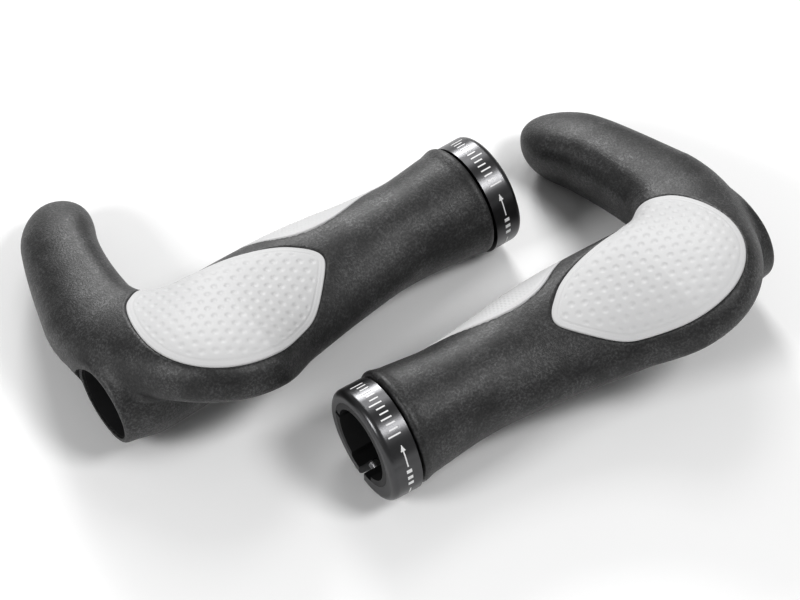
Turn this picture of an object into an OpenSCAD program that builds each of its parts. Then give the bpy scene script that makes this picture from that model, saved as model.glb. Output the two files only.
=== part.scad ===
// Pair of ergonomic handlebar grips with integrated bar ends and one clamp ring each.
// Local frame of one grip: u along the handlebar, 0 at the inboard face, growing outboard;
// y forward (the bar end's direction); z up. The right grip runs towards +X, the left one towards -X.

/* [Handlebar and sleeve] */
// Bore of the sleeve that the handlebar slides into
bar_bore_d = 22.3; // [22.0:0.05:22.6]
// Outer diameter of the hard sleeve under the rubber
sleeve_d = 25.2; // [24.6:0.1:26]
// Outer diameter of the sleeve's clamped end
clamp_end_d = 26.2; // [25.6:0.1:27]
// Overall length along the handlebar
grip_len = 136; // [120:1:150]
// Width of the slot in the sleeve's clamped end
sleeve_slot_w = 10; // [6:0.5:12]

/* [Clamp ring] */
// Outer diameter of the clamp ring
ring_d = 33; // [31:0.5:36]
// Width of the clamp ring along the handlebar
ring_w = 9.4; // [8:0.1:12]
// Radial play between ring and sleeve
ring_play = 0.05; // [0.02:0.01:0.1]
// Gap between the two ends of the split ring
ring_gap = 2.6; // [1.5:0.1:4]
// Gap between ring and rubber
ring_to_rubber = 0.7; // [0.4:0.1:1.5]
// Radius on the ring's inboard outer edge
ring_edge_r = 2; // [0.5:0.1:3]

/* [Clamp screw] */
// Screw thread diameter
screw_d = 3; // [2.5:0.5:4]
// Screw head diameter
head_d = 5.5; // [4.5:0.1:7]
// Screw head height
head_h = 3; // [2:0.1:4]
// Distance of the screw below the handlebar axis
screw_drop = 15; // [14:0.1:16]
// Hexagon socket across flats
hex_af = 2.5; // [2:0.5:3]

/* [Rubber and inserts] */
// Thickness of the palm insert
pad_t = 1.8; // [1:0.1:3]
// Thickness of the finger insert
finger_t = 1.3; // [1:0.1:1.6]
// Groove between an insert and the rubber
pad_groove = 0.5; // [0.2:0.1:1]
// Clearance of the hard core below the rubber skin in the bar end
core_inset = 4.2; // [3:0.1:6]

/* [Layout of the pair] */
// Right grip's inboard centre, along the bars from the left grip's
pair_x = -85; // [-120:1:40]
// Right grip's inboard centre, behind the left grip's
pair_y = -53.8; // [-80:0.1:-40]
// Turn of the right grip seen from above
pair_yaw = -2.9; // [-10:0.1:10]

/* [Hidden] */
$fn = 96;
bar_r = bar_bore_d/2;
sl_r = sleeve_d/2;
ring_r = ring_d/2;
end_r = clamp_end_d/2;
ring_bore_r = end_r + ring_play;
rub0 = ring_w + ring_to_rubber;
// Offset that puts the middle of the pair's underside at the origin
off = [42.13, 7.99, 18.6];

// Spine of the grip: straight to s1, a bend of radius rb through fb, then a slower bend of radius rh
s1 = 94.5; rb = 25; fb = 96.5; rh = 187; horn = 48.5; tip = 17.5;
s_end = s1 + rb*fb*PI/180 + horn;
s_in = 24;
// Section sizes at distances along the spine: middle height, half-widths out, in, up and down,
// roundness exponent and tilt
t_zc = [[0,2],[40,2.5],[70,4.5],[100,7.6],[130,2.7],[160,-2.5],[193,-7]];
t_out = [[0,10.5],[40,16],[60,19.5],[80,25],[100,34.8],[120,22.2],[140,17.1],[165,14],[193,11]];
t_in = [[0,12],[40,15.5],[70,18],[100,14],[130,10.5],[160,8.8],[193,12.5]];
t_up = [[0,8.5],[40,11],[70,12.5],[100,14.4],[130,11],[160,9.5],[193,6]];
t_dn = [[0,12],[40,14.5],[70,12.5],[100,8.7],[130,11.6],[160,14.5],[193,14.5]];
t_n = [[0,2],[60,2],[110,2.5],[193,2.2]];
t_tau = [[0,-3],[50,-4],[80,4],[110,23],[140,3.5],[193,-1]];
// Radius of the round handle along the bar
t_bar = [[9.4,17.2],[16,16.5],[34,14.9],[60,14.5],[95,14.5],[124,15.2],[136,13]];
// Outlines of the two inserts as [distance, angle] pairs round the spine
palm = [[66,100],[63,64],[76.5,24],[99,31],[114,50],[124,100],[120,155],[80,131]];
finger = [[31,170],[40,145],[52,127],[63,126],[72,142],[80,172],[72,212],[58,232],[42,216]];

// Smooth curve through the pairs of a table, flat at both ends
function grad(t, i) = i <= 0 || i >= len(t)-1 ? 0 :
  let (a = (t[i][1]-t[i-1][1])/(t[i][0]-t[i-1][0]), b = (t[i+1][1]-t[i][1])/(t[i+1][0]-t[i][0]))
  a*b <= 0 ? 0 : 2*a*b/(a+b);
function seg(t, x) = max([for (k = [0:len(t)-2]) if (k == 0 || t[k][0] <= x) k]);
function ease(t, x) = let (i = seg(t, x), h = t[i+1][0]-t[i][0],
  q = min(1, max(0, (x-t[i][0])/h)), q2 = q*q, q3 = q2*q)
  t[i][1]*(2*q3-3*q2+1) + grad(t,i)*h*(q3-2*q2+q) + t[i+1][1]*(3*q2-2*q3) + grad(t,i+1)*h*(q3-q2);

function heading(s) = s < s1 ? 0 : s < s1 + rb*fb*PI/180 ? (s-s1)/rb*180/PI
  : fb + (s-s1-rb*fb*PI/180)/rh*180/PI;
function spine(s) = let (h = heading(s)) s < s1 ? [s, 0] : h < fb ? [s1+rb*sin(h), rb*(1-cos(h))]
  : [s1+rb*sin(fb)+rh*(sin(h)-sin(fb)), rb*(1-cos(fb))+rh*(cos(fb)-cos(h))];
function close_tip(s) = let (e = max(0, min(1, (s-s_end+tip)/tip))) sqrt(max(0, 1-e*e));
// Distance from the spine to the skin at angle a: 0 outboard or rear, 90 up, 180 inner or front
function reach(s, a) = let (d = a - ease(t_tau, s), k = close_tip(s), n = ease(t_n, s),
  w = max(0.001, k*ease(cos(d) > 0 ? t_out : t_in, s)), h = max(0.001, k*ease(sin(d) > 0 ? t_up : t_dn, s)))
  pow(pow(abs(cos(d))/w, n) + pow(abs(sin(d))/h, n), -1/n);
function place(s, a, r) = let (p = spine(s), h = heading(s))
  [p[0] + sin(h)*cos(a)*r, p[1] - cos(h)*cos(a)*r, ease(t_zc, s) + sin(a)*r];
// Distance to the round handle from the spine's own height
function handle_reach(s, a) = s > s1 ? 0 : let (z = ease(t_zc, s), r = ease(t_bar, s))
  -z*sin(a) + sqrt(max(0, r*r - z*z*cos(a)*cos(a)));
function outer(s, a) = max(reach(s, a), handle_reach(s, a));

// Closed solid through rings of points, fanned shut at both ends
module rings(pts) {
  n = len(pts); m = len(pts[0]);
  c0 = [for (k = [0:2]) sum_of([for (p = pts[0]) p[k]])/m];
  c1 = [for (k = [0:2]) sum_of([for (p = pts[n-1]) p[k]])/m];
  all = concat([for (r = pts) each r], [c0, c1]);
  polyhedron(all, concat(
    [for (j = [0:m-1]) [n*m, (j+1)%m, j]],
    [for (i = [0:n-2]) for (j = [0:m-1]) [i*m+j, i*m+(j+1)%m, (i+1)*m+(j+1)%m, (i+1)*m+j]],
    [for (j = [0:m-1]) [n*m+1, (n-1)*m+j, (n-1)*m+(j+1)%m]]), convexity = 6);
}
function sum_of(v, i = 0) = i >= len(v) ? 0 : v[i] + sum_of(v, i+1);

// Stations along the spine, closer together near the rounded end
function stations(a, b, n, q) = [for (i = [0:n]) a + (b-a)*(1-pow(1-i/n, q))];
module swept(inset, a, n, m) rings([for (s = stations(a, s_end-inset-0.05, n, 1.35))
  [for (j = [0:m-1]) place(s, 360*j/m, max(0.3, reach(s + inset*0.6, 360*j/m) - inset))]]);
module swept_skin() swept(0, s_in, 42, 30);
module handle_body() rotate([90, 0, 90]) rotate_extrude($fn = 48)
  polygon(concat([[0, rub0]], [for (i = [0:18]) let (u = rub0 + (grip_len-rub0)*i/18)
    [ease(t_bar, u), u]], [[0, grip_len]]));
// Closed outline through the corner pairs
function knot(v, i) = v[(i+len(v))%len(v)];
function around(v, q) = let (i = floor(q), f = q-i,
  a = knot(v,i-1), b = knot(v,i), c = knot(v,i+1), d = knot(v,i+2))
  0.5*(2*b + (c-a)*f + (2*a-5*b+4*c-d)*f*f + (3*b-a-3*c+d)*f*f*f);
function middle(v) = [sum_of([for (p = v) p[0]]), sum_of([for (p = v) p[1]])]/len(v);
// Slab that follows the skin inside an outline: lo and hi are heights over the skin
module slab(v, lo, hi, grow, k, m) {
  c = middle(v);
  q = [for (j = [0:m-1]) around(v, len(v)*j/m)];
  g = [for (p = q) let (d = p-c, e = [d[0], d[1]*0.27]) c + d*(1 + grow/norm(e))];
  pt = function (f, j, h) let (p = c + (g[j]-c)*f) place(p[0], p[1], outer(p[0], p[1]) + h);
  top = [for (i = [1:k]) for (j = [0:m-1]) pt(i/k, j, hi)];
  bot = [for (i = [1:k]) for (j = [0:m-1]) pt(i/k, j, lo)];
  n = k*m;
  o = outer(c[0], c[1]);
  polyhedron(concat(top, bot, [place(c[0], c[1], o+hi), place(c[0], c[1], o+lo)]), concat(
    [for (j = [0:m-1]) [2*n, (j+1)%m, j]],
    [for (i = [0:k-2]) for (j = [0:m-1]) [i*m+j, i*m+(j+1)%m, (i+1)*m+(j+1)%m, (i+1)*m+j]],
    [for (j = [0:m-1]) [n-m+j, n-m+(j+1)%m, 2*n-m+(j+1)%m, 2*n-m+j]],
    [for (i = [0:k-2]) for (j = [0:m-1]) [n+(i+1)*m+j, n+(i+1)*m+(j+1)%m, n+i*m+(j+1)%m, n+i*m+j]],
    [for (j = [0:m-1]) [2*n+1, n+j, n+(j+1)%m]]), convexity = 6);
}

module along(u0, u1, r) translate([u0, 0, 0]) rotate([0, 90, 0]) cylinder(r = r, h = u1-u0);
// Hard sleeve on the handlebar, with its slotted end in the clamp ring
module bar_sleeve() difference() {
  union() {
    along(0, grip_len-1, sl_r);
    along(0, ring_w+0.4, end_r);
  }
  along(-1, grip_len+1, bar_r);
  translate([-1, -sleeve_slot_w/2, -end_r-2]) cube([ring_w+1.4, sleeve_slot_w, 8]);
  translate([-1, 8, -0.4]) cube([ring_w-1, 8, 1.6]);
}
// Stiffener inside the bar end and the palm rest, a saddle on the sleeve
module bar_end_core() difference() {
  resize([0, 0, 0]) swept(core_inset, 88, 18, 16);
  along(0, 200, sl_r+0.01);
}
module rubber_cover() resize([0, 0, 0]) difference() {
  union() { swept_skin(); handle_body(); }
  slab(palm, -pad_t, 4, pad_groove, 5, 32);
  slab(finger, -finger_t, 3, pad_groove, 4, 28);
  swept(core_inset, 88, 18, 16);
  along(0, grip_len-1, sl_r+0.01);
  along(0, grip_len+40, bar_r+0.15);
}
module palm_insert() slab(palm, -pad_t+0.02, 0.05, 0, 7, 32);
module finger_insert() slab(finger, -finger_t+0.02, 0.05, 0, 5, 28);

// Profile of the ring's outside with the rounded inboard edge
module ring_solid(r) rotate([90, 0, 90]) rotate_extrude() difference() {
  square([r, ring_w]);
  difference() {
    translate([r-ring_edge_r, -1]) square([ring_edge_r+1, ring_edge_r+1]);
    translate([r-ring_edge_r, ring_edge_r]) circle(r = ring_edge_r, $fn = 64);
  }
}
module clamp_ring() difference() {
  union() {
    ring_solid(ring_r);
    intersection() {
      translate([0, -0.9, -1.6]) ring_solid(ring_r-0.1);
      translate([-1, -24, -24]) cube([ring_w+2, 24-ring_gap/2, 48]);
    }
    intersection() {
      translate([0, 0.5, -1.1]) ring_solid(ring_r-0.2);
      translate([-1, ring_gap/2, -24]) cube([ring_w+2, 24, 48]);
    }
  }
  along(-1, ring_w+1, ring_bore_r);
  translate([-1, -ring_gap/2, -24]) cube([ring_w+2, ring_gap, 16]);
  // screw hole through both ears and the pocket for its head
  translate([ring_w/2, -12, -screw_drop]) rotate([-90, 0, 0]) cylinder(r = screw_d/2+0.05, h = 24);
  translate([ring_w/2, -20, -screw_drop]) rotate([-90, 0, 0]) cylinder(r = head_d/2+0.15, h = 13);
  // small punch mark near the inboard edge
  rotate([33, 0, 0]) translate([3.2, -ring_r-0.75, 0]) sphere(r = 0.5, $fn = 32);
}
module clamp_screw() translate([ring_w/2, -7, -screw_drop]) rotate([-90, 0, 0]) difference() {
  union() {
    cylinder(r = screw_d/2, h = 12);
    translate([0, 0, -head_h]) cylinder(r = head_d/2, h = head_h);
  }
  translate([0, 0, -head_h-0.1]) cylinder(r = hex_af/sqrt(3), h = 1.6, $fn = 6);
}
// Printed marks: thin plates standing a hair proud of the ring. Angle 0 is rear, 90 up
module ring_blank(g) {
  along(2.2, ring_w-0.2, ring_r+g);
  translate([0, -0.9, -1.6]) intersection() {
    along(2.2, ring_w-0.2, ring_r-0.1+g);
    translate([0, -24, -24]) cube([ring_w, 23, 48]);
  }
}
module wedge(a) rotate([90, 0, 90]) linear_extrude(ring_w)
  polygon([[0, 0], [-30*cos(a[0]), 30*sin(a[0])], [-30*cos(a[1]), 30*sin(a[1])]]);
module plate(a0, a1, u0, u1) intersection() {
  difference() { ring_blank(0.06); ring_blank(-0.02); }
  wedge([a0, a1]);
  translate([u0, -30, -30]) cube([u1-u0, 60, 60]);
}
module scale_marks() for (i = [0:12]) plate(53.2+6*i, 54.8+6*i, i%6 == 0 ? 2.9 : i%3 == 0 ? 3.5 : 4.1, 6.9);
module arrow_mark() {
  plate(18, 38, 5.25, 5.65);
  for (k = [0:3]) plate(36+1.5*k, 37.5+1.5*k+(k == 3 ? 0.5 : 0), 4.75+0.17*k, 6.15-0.17*k);
}
module dash_marks() {
  for (k = [0:2]) plate(10.5-8*k, 14.5-8*k, 4.6, 6.3);
  plate(-24, -13, 5.25, 5.65);
}

module left() translate(off) mirror([1, 0, 0]) children();
module right() translate(off) translate([pair_x, pair_y, 0]) rotate([0, 0, pair_yaw]) children();

module left_bar_sleeve() color([0.09, 0.09, 0.10]) left() bar_sleeve();
module left_bar_end_core() color([0.13, 0.13, 0.14]) left() bar_end_core();
module left_rubber_cover() color([0.06, 0.06, 0.065]) left() rubber_cover();
module left_palm_insert() color([0.86, 0.86, 0.86]) left() palm_insert();
module left_finger_insert() color([0.86, 0.86, 0.86]) left() finger_insert();
module left_clamp_ring() color([0.03, 0.03, 0.035]) left() clamp_ring();
module left_ring_scale_marks() color([0.9, 0.9, 0.9]) left() scale_marks();
module left_ring_arrow_mark() color([0.9, 0.9, 0.9]) left() arrow_mark();
module left_ring_dash_marks() color([0.9, 0.9, 0.9]) left() dash_marks();
module left_clamp_screw() color([0.55, 0.55, 0.57]) left() clamp_screw();
module right_bar_sleeve() color([0.09, 0.09, 0.10]) right() bar_sleeve();
module right_bar_end_core() color([0.13, 0.13, 0.14]) right() bar_end_core();
module right_rubber_cover() color([0.06, 0.06, 0.065]) right() rubber_cover();
module right_palm_insert() color([0.86, 0.86, 0.86]) right() palm_insert();
module right_finger_insert() color([0.86, 0.86, 0.86]) right() finger_insert();
module right_clamp_ring() color([0.03, 0.03, 0.035]) right() clamp_ring();
module right_ring_scale_marks() color([0.9, 0.9, 0.9]) right() scale_marks();
module right_ring_arrow_mark() color([0.9, 0.9, 0.9]) right() arrow_mark();
module right_ring_dash_marks() color([0.9, 0.9, 0.9]) right() dash_marks();
module right_clamp_screw() color([0.55, 0.55, 0.57]) right() clamp_screw();

left_bar_sleeve();
left_bar_end_core();
left_rubber_cover();
left_palm_insert();
left_finger_insert();
left_clamp_ring();
left_ring_scale_marks();
left_ring_arrow_mark();
left_ring_dash_marks();
left_clamp_screw();
right_bar_sleeve();
right_bar_end_core();
right_rubber_cover();
right_palm_insert();
right_finger_insert();
right_clamp_ring();
right_ring_scale_marks();
right_ring_arrow_mark();
right_ring_dash_marks();
right_clamp_screw();
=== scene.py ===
import math

import bpy
import numpy as np
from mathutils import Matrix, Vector


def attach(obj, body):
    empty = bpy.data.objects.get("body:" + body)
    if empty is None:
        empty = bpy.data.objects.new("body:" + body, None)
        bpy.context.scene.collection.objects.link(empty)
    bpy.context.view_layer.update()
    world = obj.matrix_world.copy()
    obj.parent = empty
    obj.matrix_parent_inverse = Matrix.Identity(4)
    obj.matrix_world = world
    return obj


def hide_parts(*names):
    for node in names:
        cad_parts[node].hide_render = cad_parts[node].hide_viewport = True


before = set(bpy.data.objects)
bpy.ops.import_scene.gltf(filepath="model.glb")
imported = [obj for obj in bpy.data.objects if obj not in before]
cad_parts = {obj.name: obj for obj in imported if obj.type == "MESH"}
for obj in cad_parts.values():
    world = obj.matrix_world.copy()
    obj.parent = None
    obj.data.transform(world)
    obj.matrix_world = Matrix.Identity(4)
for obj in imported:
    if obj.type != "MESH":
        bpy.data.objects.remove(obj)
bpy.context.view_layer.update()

# ---------------------------------------------------------------- layout of the pair, in mm
# A grip's own axes: u along the handlebar from the inboard end, y to the bar end's side, z up.
SIDES = ("left", "right")
LEFT_AT = (42.13, 7.99, 18.6)       # left grip's inboard centre in the part's frame
RIGHT_AT = (-85.0, -53.8)           # right grip's inboard centre, from the left one's
RIGHT_YAW = math.radians(-2.9)
GRIP_LEN = 136.0
RING_W = 9.4
RUBBER_START = 10.1                 # just past the clamp ring
SLEEVE_R = 12.6
BORE_R = 11.15

# ---------------------------------------------------------------- spine and sections of a grip
# The spine runs straight, turns round the elbow, and goes on in a wide arc to the bar end's tip.
STRAIGHT = 94.5
ELBOW_R = 25.0
ELBOW_TURN = math.radians(96.5)
HORN_R = 187.0
HORN_LEN = 48.5
TIP_LEN = 17.5                      # over which the bar end rounds off
HORN_START = STRAIGHT + ELBOW_R * ELBOW_TURN
SPINE_END = HORN_START + HORN_LEN
HORN_CENTRE = (STRAIGHT + ELBOW_R * math.sin(ELBOW_TURN) - HORN_R * math.sin(ELBOW_TURN),
               ELBOW_R * (1 - math.cos(ELBOW_TURN)) + HORN_R * math.cos(ELBOW_TURN))

# Rows of distance along the spine and the value there.
MID_Z = [[0, 2], [40, 2.5], [70, 4.5], [100, 7.6], [130, 2.7], [160, -2.5], [193, -7]]
HALF_OUT = [[0, 10.5], [40, 16], [60, 19.5], [80, 25], [100, 34.8], [120, 22.2], [140, 17.1],
            [165, 14], [193, 11]]
HALF_IN = [[0, 12], [40, 15.5], [70, 18], [100, 14], [130, 10.5], [160, 8.8], [193, 12.5]]
HALF_UP = [[0, 8.5], [40, 11], [70, 12.5], [100, 14.4], [130, 11], [160, 9.5], [193, 6]]
HALF_DOWN = [[0, 12], [40, 14.5], [70, 12.5], [100, 8.7], [130, 11.6], [160, 14.5], [193, 14.5]]
ROUNDNESS = [[0, 2], [60, 2], [110, 2.5], [193, 2.2]]       # 2 is an ellipse, more is squarer
TILT = [[0, -3], [50, -4], [80, 4], [110, 23], [140, 3.5], [193, -1]]       # degrees

# Rows of distance along the handlebar: the round handle's radius, and how softly it blends in.
HANDLE_R = [[9.4, 17.2], [16, 16.5], [34, 14.9], [60, 14.5], [95, 14.5], [124, 15.2], [136, 13]]
BLEND = [[0, 1.0], [60, 1.5], [95, 6.5], [136, 3.5]]
BEAD, BEAD_LEN = 0.5, 5.0           # the rubber's swelling at its end by the ring
RING_EDGE, OUTER_EDGE = 2.2, 1.6    # how softly its two ends are rounded

# Corners of the inserts' outlines: distance along the spine, and degrees round it.
PALM = [[66, 100], [63, 64], [76.5, 24], [99, 31], [114, 50], [124, 100], [120, 155], [80, 131]]
FINGER = [[31, 170], [40, 145], [52, 127], [63, 126], [72, 142], [80, 172], [72, 212], [58, 232],
          [42, 216]]


def ease(table, x):
    """Smooth curve through a table's rows, flat at both ends."""
    xs = np.array([row[0] for row in table], float)
    ys = np.array([row[1] for row in table], float)
    rise = np.diff(ys) / np.diff(xs)
    slope = np.zeros(len(xs))
    for i in range(1, len(xs) - 1):
        if rise[i - 1] * rise[i] > 0:
            slope[i] = 2 * rise[i - 1] * rise[i] / (rise[i - 1] + rise[i])
    x = np.clip(x, xs[0], xs[-1])
    i = np.clip(np.searchsorted(xs, x, side="right") - 1, 0, len(xs) - 2)
    h = xs[i + 1] - xs[i]
    t = (x - xs[i]) / h
    t2, t3 = t * t, t * t * t
    return (ys[i] * (2 * t3 - 3 * t2 + 1) + slope[i] * h * (t3 - 2 * t2 + t)
            + ys[i + 1] * (3 * t2 - 2 * t3) + slope[i + 1] * h * (t3 - t2))


def step_up(x, lo, hi):
    """0 below lo, 1 above hi, and smooth between."""
    t = np.clip((x - lo) / (hi - lo), 0, 1)
    return t * t * (3 - 2 * t)


def soft_min(a, b, k):
    h = np.maximum(k - np.abs(a - b), 0) / k
    return np.minimum(a, b) - h * h * k / 4


def soft_max(a, b, k):
    return -soft_min(-a, -b, k)


def along_spine(p):
    """Distance along the spine and the two offsets from it: outboard or rear, and up."""
    u, y, z = p[..., 0], p[..., 1], p[..., 2]
    bend = np.arctan2(u - STRAIGHT, ELBOW_R - y)
    bend = np.where((u < STRAIGHT) & (y > ELBOW_R), math.pi, bend)
    turn = np.arctan2(u - HORN_CENTRE[0], HORN_CENTRE[1] - y)
    straight = (u < STRAIGHT) & (y <= ELBOW_R)
    horn = ~straight & (bend > ELBOW_TURN)
    s = np.where(straight, u, np.where(horn, HORN_START + (turn - ELBOW_TURN) * HORN_R,
                                       STRAIGHT + ELBOW_R * bend))
    from_horn = np.hypot(u - HORN_CENTRE[0], y - HORN_CENTRE[1]) - HORN_R
    from_elbow = np.hypot(u - STRAIGHT, y - ELBOW_R) - ELBOW_R
    out = np.where(straight, -y, np.where(horn, from_horn, from_elbow))
    return s, out, z - ease(MID_Z, s)


def reach(s, angle):
    """From the spine to the skin at an angle: 0 outboard or rear, 90 up, 180 inner or front."""
    d = angle - np.radians(ease(TILT, s))
    close = np.clip((s - SPINE_END + TIP_LEN) / TIP_LEN, 0, 1)
    close = np.sqrt(1 - close * close)
    n = ease(ROUNDNESS, s)
    wide = np.where(np.cos(d) > 0, ease(HALF_OUT, s), ease(HALF_IN, s)) * close
    high = np.where(np.sin(d) > 0, ease(HALF_UP, s), ease(HALF_DOWN, s)) * close
    wide, high = np.maximum(wide, 1e-3), np.maximum(high, 1e-3)
    return ((np.abs(np.cos(d)) / wide) ** n + (np.abs(np.sin(d)) / high) ** n) ** (-1 / n)


def point_at(s, angle, r):
    """Point at a distance along the spine, an angle round it and a distance from it."""
    s, angle, r = np.broadcast_arrays(np.asarray(s, float), angle, r)
    bend = np.clip((s - STRAIGHT) / ELBOW_R, 0, ELBOW_TURN)
    turn = ELBOW_TURN + (s - HORN_START) / HORN_R
    horn = s > HORN_START
    head = np.where(horn, turn, bend)
    before_horn = np.where(s < STRAIGHT, s, STRAIGHT + ELBOW_R * np.sin(bend))
    u = np.where(horn, HORN_CENTRE[0] + HORN_R * np.sin(turn), before_horn)
    y = np.where(horn, HORN_CENTRE[1] - HORN_R * np.cos(turn), ELBOW_R * (1 - np.cos(bend)))
    side = np.cos(angle) * r
    return np.stack([u + np.sin(head) * side, y - np.cos(head) * side,
                     ease(MID_Z, s) + np.sin(angle) * r], -1)


def skin(p):
    """Below 0 inside the grip's rubber, above 0 outside, in mm."""
    s, out, up = along_spine(p)
    body = np.hypot(out, up) - reach(s, np.arctan2(up, out))
    body = np.maximum(body, s - SPINE_END)
    u = p[..., 0]
    handle = np.hypot(p[..., 1], p[..., 2]) - ease(HANDLE_R, u)
    handle = handle - BEAD * (1 - step_up(u, RUBBER_START, RUBBER_START + BEAD_LEN))
    handle = soft_max(handle, u - GRIP_LEN, OUTER_EDGE)
    both = soft_min(body, handle, ease(BLEND, u))
    return soft_max(both, RUBBER_START - u, RING_EDGE)


def slope_of_skin(p, step=0.05):
    g = np.empty_like(p)
    for k in range(3):
        d = np.zeros(3)
        d[k] = step
        g[..., k] = (skin(p + d) - skin(p - d)) / (2 * step)
    return g


def onto_skin(p, rounds):
    """Moves points onto the skin and gives the outward directions there."""
    longest, flattest = 1.5, 0.15
    for _ in range(rounds):
        g = slope_of_skin(p)
        steep = np.maximum((g * g).sum(-1, keepdims=True), flattest)
        move = skin(p)[..., None] * g / steep
        p = p - np.clip(move, -longest, longest)
    g = slope_of_skin(p)
    return p, g / np.linalg.norm(g, axis=-1, keepdims=True)


# ---------------------------------------------------------------- insert outlines on the skin
def outline(corners, count):
    """Closed smooth outline through the corners, as distance and angle in radians."""
    v = np.array(corners, float)
    v[:, 1] = np.radians(v[:, 1])
    n = len(v)
    t = np.linspace(0, n, count, endpoint=False)
    i = t.astype(int)
    f = (t - i)[:, None]
    a, b, c, d = v[(i - 1) % n], v[i], v[(i + 1) % n], v[(i + 2) % n]
    return 0.5 * (2 * b + (c - a) * f + (2 * a - 5 * b + 4 * c - d) * f ** 2
                  + (3 * b - a - 3 * c + d) * f ** 3)


def inside(q, s, angle):
    """Even-odd test of points against a closed outline."""
    hit = np.zeros(s.shape, bool)
    for (s0, a0), (s1, a1) in zip(q, np.roll(q, -1, 0)):
        cross = (a0 > angle) != (a1 > angle)
        with np.errstate(divide="ignore", invalid="ignore"):
            at = (s1 - s0) * (angle - a0) / (a1 - a0) + s0
        hit ^= cross & (s < at)
    return hit


def depth_in(corners, p):
    """How far points on the skin are inside an insert's outline, in mm; below 0 outside it."""
    far, margin, batch = 99.0, 4, 8000
    q = outline(corners, 240)
    edge, _ = onto_skin(point_at(q[:, 0], q[:, 1], reach(q[:, 0], q[:, 1])), 8)
    s, out, up = along_spine(p)
    angle = np.arctan2(up, out)
    angle = np.where(angle < -math.radians(100), angle + 2 * math.pi, angle)
    near = np.full(len(p), far)
    boxed = (p > edge.min(0) - margin).all(-1) & (p < edge.max(0) + margin).all(-1)
    boxed = np.nonzero(boxed)[0]
    run = np.roll(edge, -1, 0) - edge
    for part in np.array_split(boxed, max(1, len(boxed) // batch)):
        w = p[part][:, None] - edge[None]
        t = np.clip((w * run).sum(-1) / (run * run).sum(-1), 0, 1)
        near[part] = np.sqrt(((w - t[..., None] * run) ** 2).sum(-1)).min(1)
    within = np.zeros(len(p), bool)
    within[boxed] = inside(q, s[boxed], angle[boxed])
    return np.where(within, near, -near)


# ---------------------------------------------------------------- mesh building
def to_part(side, p):
    """From one grip's own mm to the part's frame in metres; the left grip is a mirror image."""
    p = np.asarray(p, float)
    if side == "left":
        x, y = -p[..., 0], p[..., 1]
    else:
        c, s = math.cos(RIGHT_YAW), math.sin(RIGHT_YAW)
        x = RIGHT_AT[0] + c * p[..., 0] - s * p[..., 1]
        y = RIGHT_AT[1] + s * p[..., 0] + c * p[..., 1]
    return np.stack([x + LEFT_AT[0], y + LEFT_AT[1], p[..., 2] + LEFT_AT[2]], -1) / 1000


def side_object(name, side, points, faces):
    if side == "left":
        faces = [f[::-1] for f in faces]
    mesh = bpy.data.meshes.new(name)
    mesh.from_pydata(to_part(side, points).tolist(), [], [list(map(int, f)) for f in faces])
    obj = bpy.data.objects.new(name, mesh)
    bpy.context.scene.collection.objects.link(obj)
    return obj


def new_piece(name, side, points, faces, material, body, replaced):
    obj = side_object(name, side, points, faces)
    obj.data.update()
    obj.data.shade_smooth()
    obj.data.materials.append(material)
    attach(obj, side + body)
    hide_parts(side + replaced)
    return obj


def net(lo, hi, step):
    """Quads over the skin from its values on a lattice: one point for each cell that it crosses."""
    axes = [np.arange(lo[k], hi[k] + step, step) for k in range(3)]
    nx, ny, nz = (len(a) for a in axes)
    value = np.empty((nx, ny, nz), np.float32)
    slab = 16
    for i in range(0, nx, slab):
        grid = np.stack(np.meshgrid(axes[0][i:i + slab], axes[1], axes[2], indexing="ij"), -1)
        value[i:i + slab] = skin(grid)
    neg = value < 0
    cell = np.zeros((nx - 1, ny - 1, nz - 1), np.int8)
    for dx in (0, 1):
        for dy in (0, 1):
            for dz in (0, 1):
                cell += neg[dx:nx - 1 + dx, dy:ny - 1 + dy, dz:nz - 1 + dz]
    mixed = (cell > 0) & (cell < 8)
    where = np.argwhere(mixed)
    number = np.full(mixed.shape, -1, np.int64)
    number[mixed] = np.arange(len(where))
    points = np.stack([axes[k][where[:, k]] + step / 2 for k in range(3)], -1)
    quads = []
    for k, (a, b) in enumerate(((1, 2), (2, 0), (0, 1))):
        first, last = [slice(None)] * 3, [slice(None)] * 3
        first[k], last[k] = slice(0, -1), slice(1, None)
        change = neg[tuple(first)] != neg[tuple(last)]
        for edges, winding in ((change & neg[tuple(first)], 1), (change & ~neg[tuple(first)], -1)):
            index = np.argwhere(edges)
            corners = []
            for da, db in ((-1, -1), (0, -1), (0, 0), (-1, 0)):
                c = index.copy()
                c[:, a] += da
                c[:, b] += db
                corners.append(number[c[:, 0], c[:, 1], c[:, 2]])
            quads.append(np.stack(corners, -1)[:, ::winding])
    return points, np.concatenate(quads)


def rings_solid(rings, first, last):
    """Closed solid through equal rings of points, with a point at each end."""
    n, m = len(rings), len(rings[0])
    points = np.concatenate(list(rings) + [first[None], last[None]])
    j = np.arange(m)
    k = (j + 1) % m
    faces = [[n * m, int(a), int(b)] for a, b in zip(j, k)]
    for i in range(n - 1):
        faces += np.stack([i * m + j, (i + 1) * m + j, (i + 1) * m + k, i * m + k], -1).tolist()
    faces += [[n * m + 1, (n - 1) * m + int(b), (n - 1) * m + int(a)] for a, b in zip(j, k)]
    return points, faces


def circle(sides):
    return np.arange(sides) * 2 * math.pi / sides


# ---------------------------------------------------------------- shader words
class Val:
    """A socket that can be used in plain arithmetic."""

    def __init__(self, tree, socket):
        self.tree, self.socket = tree, socket

    def _math(self, kind, other):
        return self.tree.node("ShaderNodeMath", {"operation": kind}, {0: self, 1: other})

    def __add__(self, other): return self._math("ADD", other)
    __radd__ = __add__
    def __mul__(self, other): return self._math("MULTIPLY", other)
    __rmul__ = __mul__
    def __sub__(self, other): return self._math("SUBTRACT", other)
    def __rsub__(self, other): return (self * -1) + other


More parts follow.
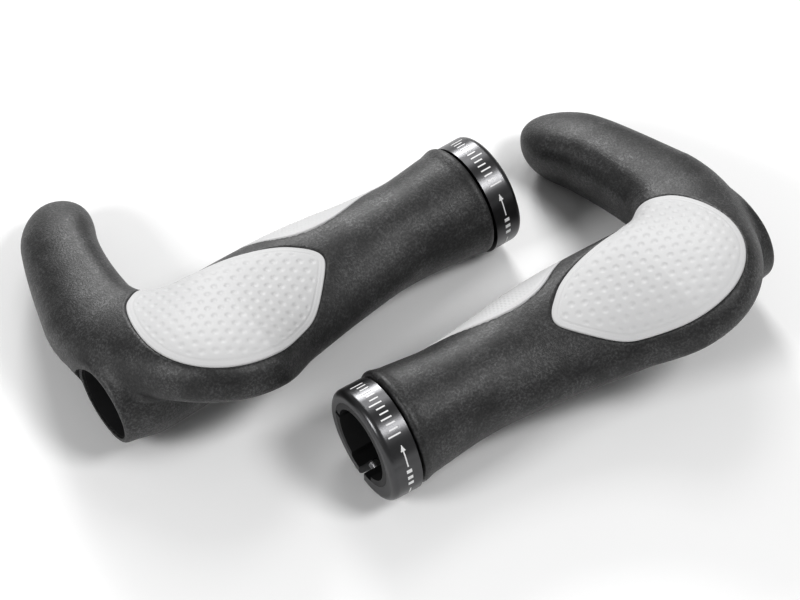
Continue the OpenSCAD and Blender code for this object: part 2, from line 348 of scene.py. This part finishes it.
class Finish:
    """One material's tree, with one method for every kind of node."""

    def __init__(self, name):
        self.material = bpy.data.materials.new(name)
        self.material.use_nodes = True
        self.tree = self.material.node_tree
        self.shader = self.tree.nodes["Principled BSDF"]

    def _give(self, socket, value):
        if isinstance(value, Val):
            self.tree.links.new(value.socket, socket)
        else:
            socket.default_value = value

    def _stops(self, colour_ramp, stops):
        while len(colour_ramp.elements) < len(stops):
            colour_ramp.elements.new(0.5)
        for element, (at, grey) in zip(colour_ramp.elements, stops):
            element.position = at
            element.color = (grey, grey, grey, 1)

    def node(self, kind, settings, inputs, output=0):
        made = self.tree.nodes.new(kind)
        for key, value in settings.items():
            if key == "stops":
                self._stops(made.color_ramp, value)
            else:
                setattr(made, key, value)
        for key, value in inputs.items():
            self._give(made.inputs[key], value)
        return Val(self, made.outputs[output])

    def set(self, **values):
        for key, value in values.items():
            self._give(self.shader.inputs[key.replace("_", " ")], value)

    def noise(self, scale, detail=2.0, rough=0.5):
        on_object = self.node("ShaderNodeTexCoord", {}, {}, output=3)
        return self.node("ShaderNodeTexNoise", {}, {"Vector": on_object, "Scale": scale,
                         "Detail": detail, "Roughness": rough})

    def ramp(self, value, *stops):
        return self.node("ShaderNodeValToRGB", {"stops": stops}, {"Fac": value})

    def mix(self, factor, dark, light):
        """Blend of two colours, each given as its red, green and blue."""
        return self.node("ShaderNodeMix", {"data_type": "RGBA"},
                         {0: factor, 6: (*dark, 1), 7: (*light, 1)}, output=2)

    def bump(self, height, distance, strength):
        return self.node("ShaderNodeBump", {}, {"Height": height, "Distance": distance,
                         "Strength": strength})


def rubber_finish():
    """Moulded rubber with a pebbled skin: light specks, more of them in worn patches."""
    f = Finish("charcoal_rubber")
    grain = f.noise(1400, 3, 0.75)
    cloud = f.noise(120, 4, 0.68)
    worn = f.ramp(cloud, (0.38, 0.0), (0.64, 1.0))
    speckle = f.ramp(grain, (0.44, 0.0), (0.64, 1.0))
    light = speckle * (0.25 + 0.60 * worn) + 0.12 * worn
    f.set(Base_Color=f.mix(light, (0.010, 0.010, 0.0102), (0.088, 0.088, 0.089)),
          Roughness=0.44 + 0.06 * cloud - 0.12 * light, Specular_IOR_Level=0.6,
          Normal=f.bump(grain + 0.9 * cloud, 0.00022, 0.6))
    return f.material


def insert_finish():
    """Pale soft plastic, nearly even in colour."""
    f = Finish("pale_insert")
    grain = f.noise(1800)
    f.set(Base_Color=f.mix(f.noise(45), (0.57, 0.57, 0.575), (0.62, 0.62, 0.62)),
          Roughness=0.50 + 0.1 * grain, Normal=f.bump(grain, 0.00006, 0.4))
    return f.material


def sleeve_finish():
    """Black hard plastic, slightly frosted."""
    f = Finish("sleeve_plastic")
    grain = f.noise(1200)
    f.set(Base_Color=f.mix(grain, (0.014, 0.014, 0.0145), (0.026, 0.026, 0.027)),
          Roughness=0.46 + 0.1 * grain, Normal=f.bump(grain, 0.00005, 0.3))
    return f.material


def core_finish():
    """Dark grey hard plastic."""
    f = Finish("core_plastic")
    grain = f.noise(900)
    f.set(Base_Color=f.mix(grain, (0.06, 0.06, 0.065), (0.09, 0.09, 0.095)),
          Roughness=0.5 + 0.1 * grain)
    return f.material


def ring_finish():
    """Black anodised aluminium."""
    f = Finish("black_anodised")
    grain = f.noise(2600)
    cloud = f.noise(90)
    f.set(Base_Color=f.mix(cloud, (0.085, 0.085, 0.088), (0.115, 0.115, 0.118)), Metallic=0.9,
          Roughness=0.24 + 0.06 * grain + 0.05 * cloud, Normal=f.bump(grain, 0.00002, 0.2))
    return f.material


def print_finish():
    """White printed ink."""
    f = Finish("white_print")
    grain = f.noise(2000, 2, 0.6)
    f.set(Base_Color=f.mix(grain, (0.78, 0.78, 0.78), (0.86, 0.86, 0.86)),
          Roughness=0.45 + 0.1 * grain)
    return f.material


def screw_finish():
    """Bare steel, slightly dulled."""
    f = Finish("screw_steel")
    grain = f.noise(1500)
    f.set(Base_Color=f.mix(grain, (0.50, 0.50, 0.51), (0.62, 0.62, 0.63)), Metallic=1.0,
          Roughness=0.28 + 0.12 * grain)
    return f.material


RUBBER, PALE, PLASTIC = rubber_finish(), insert_finish(), sleeve_finish()
CORE, ANODISED, PRINT, STEEL = core_finish(), ring_finish(), print_finish(), screw_finish()

# ---------------------------------------------------------------- CAD nodes that stay
for side in SIDES:
    for node, finish in (("bar_sleeve", PLASTIC), ("bar_end_core", CORE), ("clamp_ring", ANODISED),
                         ("ring_scale_marks", PRINT), ("ring_arrow_mark", PRINT),
                         ("ring_dash_marks", PRINT)):
        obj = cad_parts[side + "_" + node]
        obj.data.materials.clear()
        obj.data.materials.append(finish)


# ---------------------------------------------------------------- rubber cover
def cover_mesh():
    """The rubber's outside, sunk under both inserts and in a narrow groove round each."""
    lattice = 0.6
    groove_deep, seat_deep = 0.75, 0.35
    points, quads = net((8.4, -42.0, -24.0), (142.0, 88.0, 32.0), lattice)
    points, outward = onto_skin(points, 5)
    sunk = np.zeros(len(points))
    for corners in (PALM, FINGER):
        d = depth_in(corners, points)
        here = groove_deep * step_up(d, -0.45, 0.1) + seat_deep * step_up(d, 0.1, 1.2)
        sunk = np.maximum(sunk, here)
    return points - outward * sunk[:, None], quads.tolist()


def bore_mesh():
    """Room for the sleeve, and a narrower mouth that leaves a lip over the sleeve's end."""
    start, end = 5.0, GRIP_LEN + 4.0
    lip = GRIP_LEN - 1
    room, mouth, flare = SLEEVE_R + 0.02, BORE_R + 0.15, BORE_R + 0.75
    profile = [(start, room), (lip, room), (lip, mouth), (GRIP_LEN - 0.25, mouth),
               (GRIP_LEN + 0.3, flare), (end, flare)]
    a = circle(128)
    rings = [np.stack([np.full(len(a), u), -r * np.cos(a), r * np.sin(a)], -1) for u, r in profile]
    return rings_solid(rings, np.array([start, 0, 0]), np.array([end, 0, 0]))


def cut_bore(cover, side):
    cutter = side_object("cutter", side, *bore_mesh())
    cut = cover.modifiers.new("bore", "BOOLEAN")
    cut.object, cut.operation, cut.solver = cutter, "DIFFERENCE", "MANIFOLD"
    depsgraph = bpy.context.evaluated_depsgraph_get()
    bored = bpy.data.meshes.new_from_object(cover.evaluated_get(depsgraph))
    cover.modifiers.clear()
    spare = [cover.data, cutter.data]
    cover.data = bored
    bpy.data.objects.remove(cutter)
    for mesh in spare:
        bpy.data.meshes.remove(mesh)


cover_points, cover_faces = cover_mesh()
for side in SIDES:
    cover = new_piece(side + "_cover", side, cover_points, cover_faces, RUBBER,
                      "_grip", "_rubber_cover")
    cut_bore(cover, side)


# ---------------------------------------------------------------- inserts
def edge_rise(d):
    """An insert's top over the skin: a low bead inside the edge, and a fall at the edge itself."""
    stand, bead, fall = 0.04, 0.10, 0.22
    in_bead = 1 - step_up(np.abs(d - 0.3), 0.05, 0.45)
    return stand + bead * in_bead - fall * (1 - step_up(d, 0.0, 0.2))


def fine_line(d, at, deep):
    """Engraved line along the outline, at a distance inside it."""
    return -deep * (1 - step_up(np.abs(d - at), 0.05, 0.35))


def insert(corners, across, around, thick, relief):
    """Slab that follows the skin inside an outline, with a relief on its top."""
    q = outline(corners, around)
    middle = q.mean(0)
    f = np.linspace(0, 1, across + 1)[1:]
    s = middle[0] + (q[None, :, 0] - middle[0]) * f[:, None]
    a = middle[1] + (q[None, :, 1] - middle[1]) * f[:, None]
    p, out = onto_skin(point_at(s, a, reach(s, a)), 8)
    d = depth_in(corners, p.reshape(-1, 3)).reshape(s.shape)
    d[-1] = 0
    d = np.maximum(d, 0)
    top = p + out * (edge_rise(d) + relief(p, d))[..., None]
    low = p - out * thick
    mid_p, mid_out = onto_skin(point_at(middle[0], middle[1], reach(middle[0], middle[1]))[None], 8)
    well_inside = np.array([20.0])
    mid_rise = edge_rise(well_inside)[0] + relief(mid_p, well_inside)[0]
    under = range(across - 1, 0, -max(1, across // 8))
    rings = [top[i] for i in range(across)] + [low[-1]] + [low[i] for i in under]
    return rings_solid(rings, mid_p[0] + mid_out[0] * mid_rise, mid_p[0] - mid_out[0] * thick)


def dimples(p, d):
    """Shallow cups in staggered columns across the bar, and a fine line inside the edge."""
    column_pitch, cup_pitch, cup_deep = 3.3, 3.6, 0.27
    u, y = p[..., 0], p[..., 1]
    column = np.round(u / column_pitch)
    shift = np.where(column % 2 == 0, 0.0, cup_pitch / 2)
    cup_y = np.round((y - shift) / cup_pitch) * cup_pitch + shift
    r = np.hypot(u - column * column_pitch, y - cup_y)
    cup = -cup_deep * (1 - step_up(r, 0.25, 1.25))
    return cup * step_up(d, 2.4, 3.4) + fine_line(d, 1.9, 0.12)


def fine_pips(p, d):
    """Small pips in staggered rows along the bar, and a fine line inside the edge."""
    pitch, pip_high, arc_per_radian = 1.3, 0.10, 15
    s, out, up = along_spine(p)
    angle = np.arctan2(up, out)
    t = np.where(angle < -1.7, angle + 2 * math.pi, angle) * arc_per_radian
    row = np.round(t / pitch)
    shift = np.where(row % 2 == 0, 0.0, pitch / 2)
    pip_s = np.round((s - shift) / pitch) * pitch + shift
    r = np.hypot(s - pip_s, t - row * pitch)
    return pip_high * (1 - step_up(r, 0.1, 0.55)) * step_up(d, 1.4, 2.0) + fine_line(d, 1.1, 0.10)


palm_grid, finger_grid = (((95, 420), (50, 300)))
palm_points, palm_faces = insert(PALM, *palm_grid, 1.1, dimples)
finger_points, finger_faces = insert(FINGER, *finger_grid, 0.9, fine_pips)
for side in SIDES:
    new_piece(side + "_palm_rest_insert", side, palm_points, palm_faces, PALE,
              "_grip", "_palm_insert")
    new_piece(side + "_finger_rest_insert", side, finger_points, finger_faces, PALE,
              "_grip", "_finger_insert")


# ---------------------------------------------------------------- clamp screws
def screw_mesh():
    """Socket-head screw that points along +y, in the middle of the ring's width."""
    along, drop, head_y = RING_W / 2, 15.0, -10.0
    socket_r, socket_deep = 1.25, 1.5
    head_r, head_len = 2.75, 3.0
    root_r, thread_deep, pitch, length = 1.21, 0.26, 0.5, 15.0
    a = circle(48)
    even = np.ones(len(a))
    hexagon = socket_r / np.cos((a + math.pi / 6) % (math.pi / 3) - math.pi / 6)
    rings = [(socket_deep, hexagon * 0.05), (socket_deep, hexagon), (0.12, hexagon),
             (0.0, hexagon + 0.12), (0.0, 2.5 * even), (0.08, 2.67 * even), (0.3, head_r * even),
             (head_len - 0.08, head_r * even), (head_len, 2.67 * even), (head_len, 1.52 * even),
             (head_len + 0.1, 1.42 * even)]
    for y in np.arange(head_len + 0.3, length - 0.39, 0.05):
        turn = (y / pitch - a / (2 * math.pi)) % 1.0
        tooth = thread_deep * np.abs(2 * turn - 1)
        fade = min(1, (y - head_len - 0.2) / 0.4, (length - 0.25 - y) / 0.5)
        rings.append((y, root_r + tooth * fade))
    rings += [(length - 0.25, 1.18 * even), (length, 0.95 * even)]
    points = [np.stack([along + r * np.cos(a), (head_y + y) * even, r * np.sin(a) - drop], -1)
              for y, r in rings]
    return rings_solid(points, np.array([along, head_y + socket_deep, -drop]),
                       np.array([along, head_y + length, -drop]))


screw_points, screw_faces = screw_mesh()
for side in SIDES:
    new_piece(side + "_socket_screw", side, screw_points, screw_faces, STEEL,
              "_screw", "_clamp_screw")


# ---------------------------------------------------------------- camera, floor and light
def add_camera():
    data = bpy.data.cameras.new("camera")
    obj = bpy.data.objects.new("camera", data)
    bpy.context.scene.collection.objects.link(obj)
    obj.location = (-0.24632, -0.34588, 0.58196)
    down, aside = 53.793, -35.861
    obj.rotation_euler = (math.radians(90 - down), 0, math.radians(aside))
    data.lens, data.sensor_width = 108.156, 36
    data.clip_start, data.clip_end = 0.01, 20
    bpy.context.scene.camera = obj


def add_floor():
    half = 4.0
    mesh = bpy.data.meshes.new("floor")
    mesh.from_pydata([(-half, -half, 0), (half, -half, 0), (half, half, 0), (-half, half, 0)],
                     [], [(0, 1, 2, 3)])
    obj = bpy.data.objects.new("floor", mesh)
    bpy.context.scene.collection.objects.link(obj)
    f = Finish("studio_floor")
    f.set(Base_Color=(0.95, 0.95, 0.95, 1), Roughness=0.9)
    mesh.materials.append(f.material)


def add_softbox(name, at, size, power):
    """Square lamp that faces the middle of the object."""
    data = bpy.data.lights.new(name, "AREA")
    data.energy, data.size = power, size
    obj = bpy.data.objects.new(name, data)
    bpy.context.scene.collection.objects.link(obj)
    obj.location = at
    obj.rotation_euler = (-Vector(at)).to_track_quat("-Z", "Y").to_euler()


def add_sky(strength):
    world = bpy.data.worlds.new("studio")
    world.use_nodes = True
    background = world.node_tree.nodes["Background"]
    background.inputs["Color"].default_value = (1, 1, 1, 1)
    background.inputs["Strength"].default_value = strength
    bpy.context.scene.world = world


add_camera()
add_floor()
add_softbox("right_softbox", (0.42, -0.55, 0.98), 0.32, 5.2)
add_softbox("back_softbox", (0.42, 0.98, 0.55), 0.32, 6.0)
add_softbox("left_softbox", (-0.97, 0.06, 0.71), 0.36, 5.0)
add_softbox("top_softbox", (0.41, 0.58, 0.97), 0.4, 1.8)
add_sky(0.22)
view = bpy.context.scene.view_settings
view.view_transform = "Standard"
view.exposure, view.gamma = 0.28, 0.85
